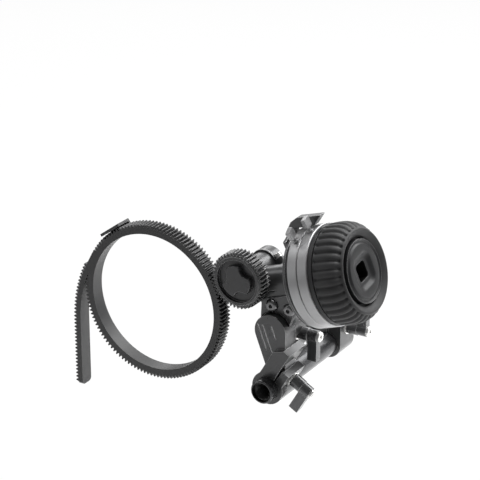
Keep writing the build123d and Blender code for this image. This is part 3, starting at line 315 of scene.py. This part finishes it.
finishes = {
    "black_anodised": plain("satin_black_anodised", **BLACK_ANODISED),
    # painted shade: black inside the rod's bore
    "black_rod": turned_metal("ground_black_anodised", (0.060, 0.0605, 0.063), BACKWARD, ROD,
                              metallic=0.6, gloss=0.25, wear_and_glint=0.6,
                              wear_and_glint_colour=(0.35, 0.35, 0.355), shaded_bore_mm=6.3),
    "silver_anodised": turned_metal("clear_anodised", (0.36, 0.36, 0.365), ACROSS, WHEEL,
                                    metallic=0.75, gloss=0.38, streak=0.10, wear_and_glint=0.15),
    "bright_steel": plain("bright_nickel", (0.82, 0.815, 0.80), gloss=0.24, metallic=0.6,
                          shade=0.1, gloss_spread=0.05, wear_and_glint=0.2,
                          wear_and_glint_colour=(0.95, 0.95, 0.95)),
    "black_steel": plain("black_oxide_steel", (0.17, 0.17, 0.173), gloss=0.2, metallic=0.85,
                         wear_and_glint=0.6, wear_and_glint_colour=(0.6, 0.6, 0.6)),
    "shaft_steel": plain("ground_shaft_steel", (0.5, 0.5, 0.5), gloss=0.26, metallic=1.0),
    "bush_bronze": plain("sintered_bronze", (0.42, 0.28, 0.13), gloss=0.45, metallic=0.9),
    # painted shade darkens the grip's grooves
    "grip_rubber": plain("grip_rubber", (0.039, 0.039, 0.040), gloss=0.55, grain_mm=0.2,
                         bump_mm=0.02, specular=0.25, painted_crease_shade=7.0),
    "belt_plastic": plain("belt_nylon", (0.022, 0.022, 0.023), gloss=0.45, grain_mm=0.3,
                          wear_and_glint=0.8, wear_and_glint_colour=(0.16, 0.16, 0.16)),
    "gear_plastic": plain("gear_nylon", (0.034, 0.034, 0.0355), gloss=0.3, grain_mm=0.3,
                          wear_and_glint=1.3, wear_and_glint_colour=(0.4, 0.4, 0.4), edge_mm=0.4),
}

# painted shade: the socket is coloured black below 73.6 mm along the axis
disc_finish = turned_metal("turned_black_anodised", (0.022, 0.0223, 0.0235), ACROSS, WHEEL,
                           metallic=0.2, gloss=0.42, streak=0.15, wear_and_glint=1.0, specular=0.3,
                           wear_and_glint_colour=(0.35, 0.35, 0.35), shaded_recess_mm=73.6)
lever_finish = plain("polished_black_lever", (0.110, 0.1105, 0.113), gloss=0.25, metallic=0.5,
                     wear_and_glint=0.8, wear_and_glint_colour=(0.5, 0.5, 0.505), edge_mm=0.45)
# painted shade: the thread in the rod's bore is darker than the rod; its edges are lightened partly as wear and
# partly as painted highlight
bore_thread_shade_finish = plain("bore_thread_shaded_black", (0.010, 0.010, 0.0105), gloss=0.35, metallic=0.3,
                    wear_and_glint=1.2, wear_and_glint_colour=(0.45, 0.45, 0.45), edge_mm=0.15)
# painted shade: the hub, seen in the gap inside the grip's mouth, is darker than the other black parts
shaded_hub_finish = turned_metal("turned_black_hub_shaded", (0.030, 0.0303, 0.0315), ACROSS, WHEEL,
                          metallic=0.3, gloss=0.42, streak=0.15, specular=0.35)
# the knuckle's groove floors get a painted highlight
arm_finish = plain("satin_black_arm", **BLACK_ANODISED, painted_highlight=groove_floor_highlight)
own_finishes = {"swing_arm": arm_finish, "arm_lever": lever_finish, "rod_lever": lever_finish,
                "cage_lever": lever_finish, "wheel_hub": shaded_hub_finish}

for part in frame["record"]["subparts"]:
    solid = frame["nodes"][part["node"]]
    solid.data.materials.clear()
    solid.data.materials.append(own_finishes.get(part["node"], finishes[part["material_slot"]]))


# ------------------------------------------------------------------ modelling helpers
WELD_MM = 1e-4                                # vertices closer than this are one


def seat(origin, axis, start):
    """Matrix that stands local Z along an axis and turns local X towards a direction."""
    upright = axis.normalized()
    sideways = (start - upright * start.dot(upright)).normalized()
    turn = Matrix((sideways, upright.cross(sideways), upright)).transposed()
    return Matrix.Translation(origin) @ turn.to_4x4()


def turned(mesh, profile, steps, closed=True):
    """Spin a profile of (radius, height) points once round local Z."""
    points = [mesh.verts.new((radius, 0.0, height)) for radius, height in profile]
    pairs = list(zip(points, points[1:]))
    if closed:
        pairs.append((points[-1], points[0]))
    edges = [mesh.edges.new(pair) for pair in pairs]
    bmesh.ops.spin(mesh, geom=points + edges, cent=(0, 0, 0), axis=(0, 0, 1), angle=2 * pi,
                   steps=steps, use_merge=True)


def thread(mesh, foot, crest, pitch, start, length, steps_per_turn=36):
    """Spin a thread's section up a helix round local Z; foot and crest are its radii."""
    foot_half, crest_half = 0.46 * pitch, 0.08 * pitch
    section = [(foot, -foot_half), (crest, -crest_half), (crest, crest_half), (foot, foot_half)]
    points = [mesh.verts.new((radius, 0.0, start + height)) for radius, height in section]
    end_face = mesh.faces.new(points)
    turns = length / pitch - 1.0
    steps = int(turns * steps_per_turn)
    bmesh.ops.spin(mesh, geom=[end_face, *end_face.edges, *points], cent=(0, 0, 0),
                   axis=(0, 0, 1), dvec=(0, 0, turns * pitch / steps), angle=turns * 2 * pi,
                   steps=steps)


def grow(mesh, loop, shape):
    """Extrude a closed loop of edges once and place each new vertex by a rule."""
    made = bmesh.ops.extrude_edge_only(mesh, edges=loop)["geom"]
    for vertex in (item for item in made if isinstance(item, bmesh.types.BMVert)):
        vertex.co = shape(vertex.co)
    return [item for item in made if isinstance(item, bmesh.types.BMEdge)
            and all(end in made for end in item.verts)]


def add_piece(name, mesh, place, body, slot, replaces=(), sharp=35.0, finish=None):
    """Close a mesh, set it in its place and hand it to its body."""
    bmesh.ops.remove_doubles(mesh, verts=mesh.verts, dist=WELD_MM)
    bmesh.ops.recalc_face_normals(mesh, faces=mesh.faces)
    bmesh.ops.transform(mesh, matrix=Matrix.Scale(MM, 4) @ place, verts=mesh.verts)
    data = bpy.data.meshes.new(name)
    mesh.to_mesh(data)
    mesh.free()
    data.shade_smooth()
    data.set_sharp_from_angle(angle=radians(sharp))
    data.materials.append(finish or finishes[slot])
    made = bpy.data.objects.new(name, data)
    bpy.context.collection.objects.link(made)
    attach(made, body)
    if replaces:
        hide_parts(*replaces)


# ------------------------------------------------------------------ handwheel grip
WHEEL_SEAT = seat(WHEEL, ACROSS, UPWARD)      # heights run along the handwheel axis
GRIP_START, GRIP_FRONT = 58.8, 77.15
GRIP_SEAT_RADIUS, GRIP_SEAT_END = 27.0, 72.0
GRIP_MOUTH_RADIUS = 20.6
CROWN_RADIUS, CROWN_HEIGHT = 30.75, 63.5      # the grip's widest circle
CROWN_CURVE = 0.011
CROWN_START, CROWN_STEP, CROWN_POINTS = 59.9, 0.75, 20
SHOULDER_HEIGHT, SHOULDER_CURVE = 66.0, 0.0028  # the crown falls faster from here
RIBS, STEPS_PER_RIB = 36, 12
RIB_PHASE = -0.3 * 2 * pi
GROOVE_DEPTH, GROOVE_SHARPNESS = 1.15, 2.1
GROOVE_START, GROOVE_RUN_IN = GRIP_START + 0.9, 0.9
GROOVE_END, GROOVE_RUN_OUT = 76.2, 0.6
FRONT_EDGE_HEIGHT, FRONT_EDGE_RADIUS = 74.0, 25.0  # the grooves also cut the edge past these


def crown_point(height):
    """Point of the grip's outline between its rear lip and its shoulder."""
    fall = CROWN_CURVE * (height - CROWN_HEIGHT) ** 2
    shoulder_fall = SHOULDER_CURVE * max(0.0, height - SHOULDER_HEIGHT) ** 3
    return CROWN_RADIUS - fall - shoulder_fall, height


def rib_groove(angle):
    """Depth of the grooves between the rounded ribs, from 0 on a rib to 1 in a groove."""
    return (0.5 - 0.5 * cos(angle * RIBS + RIB_PHASE)) ** GROOVE_SHARPNESS


grip_profile = [
    (29.2, GRIP_START), (29.75, GRIP_START + 0.25), (30.0, GRIP_START + 0.7),  # rear lip
    *(crown_point(CROWN_START + CROWN_STEP * step) for step in range(CROWN_POINTS)),
    (26.75, 74.9), (26.4, 75.6), (26.2, 75.9), (25.9, 76.35), (25.5, 76.8), (25.1, 77.05),
    (24.7, GRIP_FRONT), (24.3, 77.0),                                       # front edge
    (21.0, 74.9), (GRIP_MOUTH_RADIUS, 74.5),                                # dished front
    (GRIP_MOUTH_RADIUS, GRIP_SEAT_END), (GRIP_SEAT_RADIUS, GRIP_SEAT_END),
    (GRIP_SEAT_RADIUS, GRIP_START)]

grip = bmesh.new()
turned(grip, grip_profile, RIBS * STEPS_PER_RIB)
for vertex in grip.verts:
    radius = vertex.co.xy.length
    on_crown = radius > GRIP_SEAT_RADIUS + 0.1
    on_front_edge = vertex.co.z > FRONT_EDGE_HEIGHT and radius > FRONT_EDGE_RADIUS
    if on_crown or on_front_edge:
        reach = min(1.0, max(0.0, (vertex.co.z - GROOVE_START) / GROOVE_RUN_IN),
                    max(0.0, (GROOVE_END - vertex.co.z) / GROOVE_RUN_OUT))
        depth = GROOVE_DEPTH * reach * rib_groove(atan2(vertex.co.y, vertex.co.x))
        vertex.co.xy *= 1.0 - depth / radius
add_piece("grip_sleeve", grip, WHEEL_SEAT, "handwheel", "grip_rubber", ["rubber_grip"],
          sharp=50.0)

# ------------------------------------------------------------------ front disc
DISC_FACE = 76.6                              # heights along the handwheel axis again
DISC_RADIUS, DISC_REAR = 19.3, 72.0
BOSS_RADIUS, BOSS_TAPER, BOSS_END = 8.5, 0.1, 64.75
SOCKET_HALF, SOCKET_CORNER = 5.35, 2.2
SOCKET_FLOOR, SOCKET_TOP = 66.3, 74.4
FLOOR_BAND = 0.2                              # narrow band of wall that keeps the floor crisp
SOCKET_TURN = radians(8.0)
DISC_SEGMENTS = 128
POCKET_SQUARES = [                            # half width, corner radius, height
    (5.5, 2.4, 74.6), (5.9, 2.7, 74.7),                     # rounded mouth of the socket
    (7.3, 3.9, 74.7), (7.9, 4.3, 74.85), (8.9, 5.1, 75.5),  # floor and sloping wall
    (9.7, 5.7, 76.15), (10.2, 6.1, 76.48), (10.7, 6.6, DISC_FACE)]
DISC_CIRCLES = [                              # radius, height
    (15.6, DISC_FACE), (16.0, 76.55), (16.35, 76.3), (16.7, 75.85), (17.2, 75.6),
    (17.8, 75.6), (18.3, 75.8), (18.7, 76.15), (18.9, 76.3), (19.15, 76.28),
    (DISC_RADIUS, 76.1), (DISC_RADIUS, DISC_REAR), (BOSS_RADIUS + BOSS_TAPER, DISC_REAR),
    (BOSS_RADIUS, BOSS_END)]


def square_shape(half, corner, height):
    """Rounded square, as a rule that places a vertex by its angle."""
    def place(co):
        turn = Matrix.Rotation(SOCKET_TURN, 2)
        ray = turn.transposed() @ co.xy.normalized()
        x, y = abs(ray.x), abs(ray.y)
        flat, big, small = half - corner, max(x, y), min(x, y)
        reach = half / big
        if small * reach > flat:
            middle = flat * (x + y)
            reach = middle + sqrt(max(0.0, middle ** 2 - 2 * flat ** 2 + corner ** 2))
        return (*(turn @ (ray * reach)), height)
    return place


def round_shape(radius, height):
    """Circle, as a rule that places a vertex by its angle."""
    return lambda co: (*(co.xy.normalized() * radius), height)


disc = bmesh.new()
bmesh.ops.create_circle(disc, segments=DISC_SEGMENTS, radius=SOCKET_HALF, cap_ends=False)
loop = disc.edges[:]
socket_floor = square_shape(SOCKET_HALF, SOCKET_CORNER, SOCKET_FLOOR)
for vertex in disc.verts:
    vertex.co = socket_floor(vertex.co)
shapes = [square_shape(SOCKET_HALF, SOCKET_CORNER, SOCKET_FLOOR + FLOOR_BAND),
          square_shape(SOCKET_HALF, SOCKET_CORNER, SOCKET_TOP)]
shapes += [square_shape(*square) for square in POCKET_SQUARES]
shapes += [round_shape(*circle) for circle in DISC_CIRCLES]
for shape in shapes:
    loop = grow(disc, loop, shape)
bmesh.ops.contextual_create(disc, geom=loop)
bmesh.ops.contextual_create(disc, geom=[edge for edge in disc.edges if edge.is_boundary])
add_piece("dial_disc", disc, WHEEL_SEAT, "handwheel", "black_anodised", ["front_disc"],
          sharp=32.0, finish=disc_finish)

# ------------------------------------------------------------------ cage stud with its thread
STUD_TIP, STUD_REAR = -7.0, 34.85             # heights run from the cage face to the right
STUD_TIP_RADIUS, STUD_CORE, STUD_CREST = 1.9, 2.55, 3.15
FOOT_SINK = 0.05                              # how deep the thread's foot sits in the core
STUD_PITCH = 1.27                             # twenty turns to the inch
SHANK_RADIUS, SHANK_END = 2.6, 33.05
HEAD_RADIUS, HEAD_CHAMFER = 3.3, 0.35
KEY_RADIUS, KEY_TOP, KEY_FLOOR = 1.44, 34.7, 33.5  # hexagonal socket in the head
STUD_STEPS = 48

stud_profile = [
    (0.0, STUD_TIP), (STUD_TIP_RADIUS, STUD_TIP), (STUD_CORE, STUD_TIP + 0.7), (STUD_CORE, 0.0),
    (SHANK_RADIUS, 0.0), (SHANK_RADIUS, SHANK_END), (HEAD_RADIUS, SHANK_END),
    (HEAD_RADIUS, STUD_REAR - HEAD_CHAMFER), (HEAD_RADIUS - HEAD_CHAMFER, STUD_REAR),
    (1.6, STUD_REAR), (1.45, KEY_TOP)]                                      # mouth of the socket
stud = bmesh.new()
turned(stud, stud_profile, STUD_STEPS, closed=False)
rim = [edge for edge in stud.edges if edge.is_boundary
       and all(end.co.z > KEY_FLOOR for end in edge.verts)]
key = bmesh.ops.create_circle(stud, segments=6, radius=KEY_RADIUS, cap_ends=False,
                              matrix=Matrix.Translation((0, 0, KEY_TOP)))["verts"]
key_loop = list({edge for vertex in key for edge in vertex.link_edges})
bmesh.ops.bridge_loops(stud, edges=rim + key_loop)
floor_loop = grow(stud, key_loop, lambda co: (co.x, co.y, KEY_FLOOR))
bmesh.ops.contextual_create(stud, geom=floor_loop)
thread(stud, STUD_CORE - FOOT_SINK, STUD_CREST, STUD_PITCH, start=STUD_TIP + 0.4,
       length=6.9)
add_piece("cage_screw", stud, seat(Vector((0, 0, 0)), RIGHT, UP), "cage_lever",
          "bright_steel", ["cage_stud"], sharp=30.0)

# ------------------------------------------------------------------ thread in the rod's mouth
ROD_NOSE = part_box("rod")[0].y / MM            # front end of the rod
TAPPED_HOLE_SINK = 1.6                        # where the tapped hole begins, behind the nose
ROD_MOUTH = ROD + BACKWARD * (ROD_NOSE + TAPPED_HOLE_SINK)
ROD_THREAD_FOOT, ROD_THREAD_CREST, ROD_THREAD_PITCH = 5.25, 4.6, 1.75

rod_thread = bmesh.new()
thread(rod_thread, ROD_THREAD_FOOT, ROD_THREAD_CREST, ROD_THREAD_PITCH, start=0.2, length=13.0)
add_piece("rod_thread", rod_thread, seat(ROD_MOUTH, BACKWARD, RIGHT), "rod", "black_rod",
          sharp=30.0, finish=bore_thread_shade_finish)

# ------------------------------------------------------------------ ribbed edge of the collar
COLLAR_RIBS, STEPS_PER_COLLAR_RIB = 96, 4
COLLAR_RIB_DEPTH = 0.02                       # share of the radius
BAND_INNER, BAND_OUTER = 9.0, 9.32
BAND_PROFILE = [(BAND_INNER, 0.9), (BAND_OUTER, 1.0), (BAND_OUTER, 2.3), (BAND_INNER, 2.4)]

ribs = bmesh.new()
turned(ribs, BAND_PROFILE, COLLAR_RIBS * STEPS_PER_COLLAR_RIB)
for vertex in ribs.verts:
    if vertex.co.xy.length > (BAND_INNER + BAND_OUTER) / 2:
        angle = atan2(vertex.co.y, vertex.co.x)
        vertex.co.xy *= 1.0 - COLLAR_RIB_DEPTH * (0.5 + 0.5 * cos(COLLAR_RIBS * angle))
add_piece("collar_ribs", ribs, seat(GEAR, BACKWARD, ACROSS), "gear_unit", "black_anodised",
          sharp=40.0)


# ------------------------------------------------------------------ light
LAMPS = [
    # name, place and target from the unit's middle in metres, width and height, watts
    ("top_soft", (0.1, 0.3, 1.0), (0.0, 0.0, 0.0), (0.8, 0.8), 11.0),
    ("rim_right", (0.85, 0.95, 0.10), (0.0, 0.0, 0.0), (0.6, 1.0), 1.3),
    ("floor_glow", (0.35, 0.45, 0.40), (0.30, 0.45, -0.5), (0.5, 0.6), 6.5),
    ("fill_front", (-0.8, -0.9, 0.45), (0.0, 0.0, 0.0), (0.2, 1.0), 0.9),
    ("fill_left", (-1.1, -0.15, 0.75), (0.0, 0.0, 0.0), (0.5, 1.0), 3.2),
    ("rim_back", (-0.6, 1.1, 0.5), (0.0, 0.0, 0.0), (1.2, 0.6), 6.0),
]


def area_lamp(name, place, target, size, power):
    """Rectangular lamp at a place, facing a target."""
    lamp = bpy.data.lights.new(name, "AREA")
    lamp.shape, lamp.size, lamp.size_y = "RECTANGLE", *size
    lamp.energy = power
    holder = bpy.data.objects.new(name, lamp)
    bpy.context.collection.objects.link(holder)
    holder.location = place
    holder.rotation_euler = (target - place).to_track_quat("-Z", "Y").to_euler()


middle = (cad_box[0] + cad_box[1]) / 2
for name, place, target, size, power in LAMPS:
    area_lamp(name, middle + Vector(place), middle + Vector(target), size, power)

# The surroundings are white to the camera and dim to everything else.
WORLD_LIGHT, WORLD_SEEN = 0.25, 1.25          # strengths of a backdrop of light grey
world = bpy.data.worlds.new("studio")
bpy.context.scene.world = world
world.use_nodes = True
sky = world.node_tree
sky.nodes.clear()
rays = sky.nodes.new("ShaderNodeLightPath")
level = sky.nodes.new("ShaderNodeMapRange")
level.inputs["To Min"].default_value = WORLD_LIGHT
level.inputs["To Max"].default_value = WORLD_SEEN
backdrop = sky.nodes.new("ShaderNodeBackground")
shown = sky.nodes.new("ShaderNodeOutputWorld")
sky.links.new(rays.outputs["Is Camera Ray"], level.inputs["Value"])
sky.links.new(level.outputs[0], backdrop.inputs["Strength"])
sky.links.new(backdrop.outputs[0], shown.inputs["Surface"])

# ------------------------------------------------------------------ floor
FLOOR_DROP = 0.09                             # metres below the lowest point
FLOOR_HALF = 3.0                              # metres
PAPER_GRAIN_MM = 40.0
PAPER_GLOW = 0.95                             # share of plain white in what the camera sees of it

floor_mesh = bpy.data.meshes.new("studio_floor")
sheet = bmesh.new()
bmesh.ops.create_grid(sheet, x_segments=1, y_segments=1, size=FLOOR_HALF,
                      matrix=Matrix.Translation((0, 0, cad_box[0].z - FLOOR_DROP)))
sheet.to_mesh(floor_mesh)
sheet.free()
floor = bpy.data.objects.new("studio_floor", floor_mesh)
bpy.context.collection.objects.link(floor)
paper = Finish("white_paper")
paper_colour = paper.blend(paper.grain(PAPER_GRAIN_MM), (0.86, 0.86, 0.86), (0.88, 0.88, 0.88))
lit = paper.node("ShaderNodeBsdfDiffuse", Color=paper_colour)
glow = paper.node("ShaderNodeEmission", Color=(1.0, 1.0, 1.0))
camera_ray = paper.node("ShaderNodeLightPath", out="Is Camera Ray")
mixed = paper.node("ShaderNodeMixShader", _0=camera_ray * PAPER_GLOW, _1=lit, _2=glow)
paper.tree.links.new(mixed.socket, paper.output.inputs["Surface"])
floor_mesh.materials.append(paper.material)

# ------------------------------------------------------------------ camera
CAMERA_PLACE = (0.5350, -0.9234, 0.4854)      # metres
CAMERA_PITCH, CAMERA_HEADING = radians(68.11), radians(31.14)
LENS_MM, SENSOR_MM = 142.0, 36.0
FARTHEST_SEEN = 20.0                          # metres

camera_data = bpy.data.cameras.new("product_view")
camera_data.lens = LENS_MM
camera_data.sensor_width = SENSOR_MM
camera_data.clip_end = FARTHEST_SEEN
camera = bpy.data.objects.new("product_view", camera_data)
camera.location = CAMERA_PLACE
camera.rotation_euler = (CAMERA_PITCH, 0.0, CAMERA_HEADING)
bpy.context.collection.objects.link(camera)
scene = bpy.context.scene
scene.camera = camera
scene.view_settings.view_transform = "Standard"
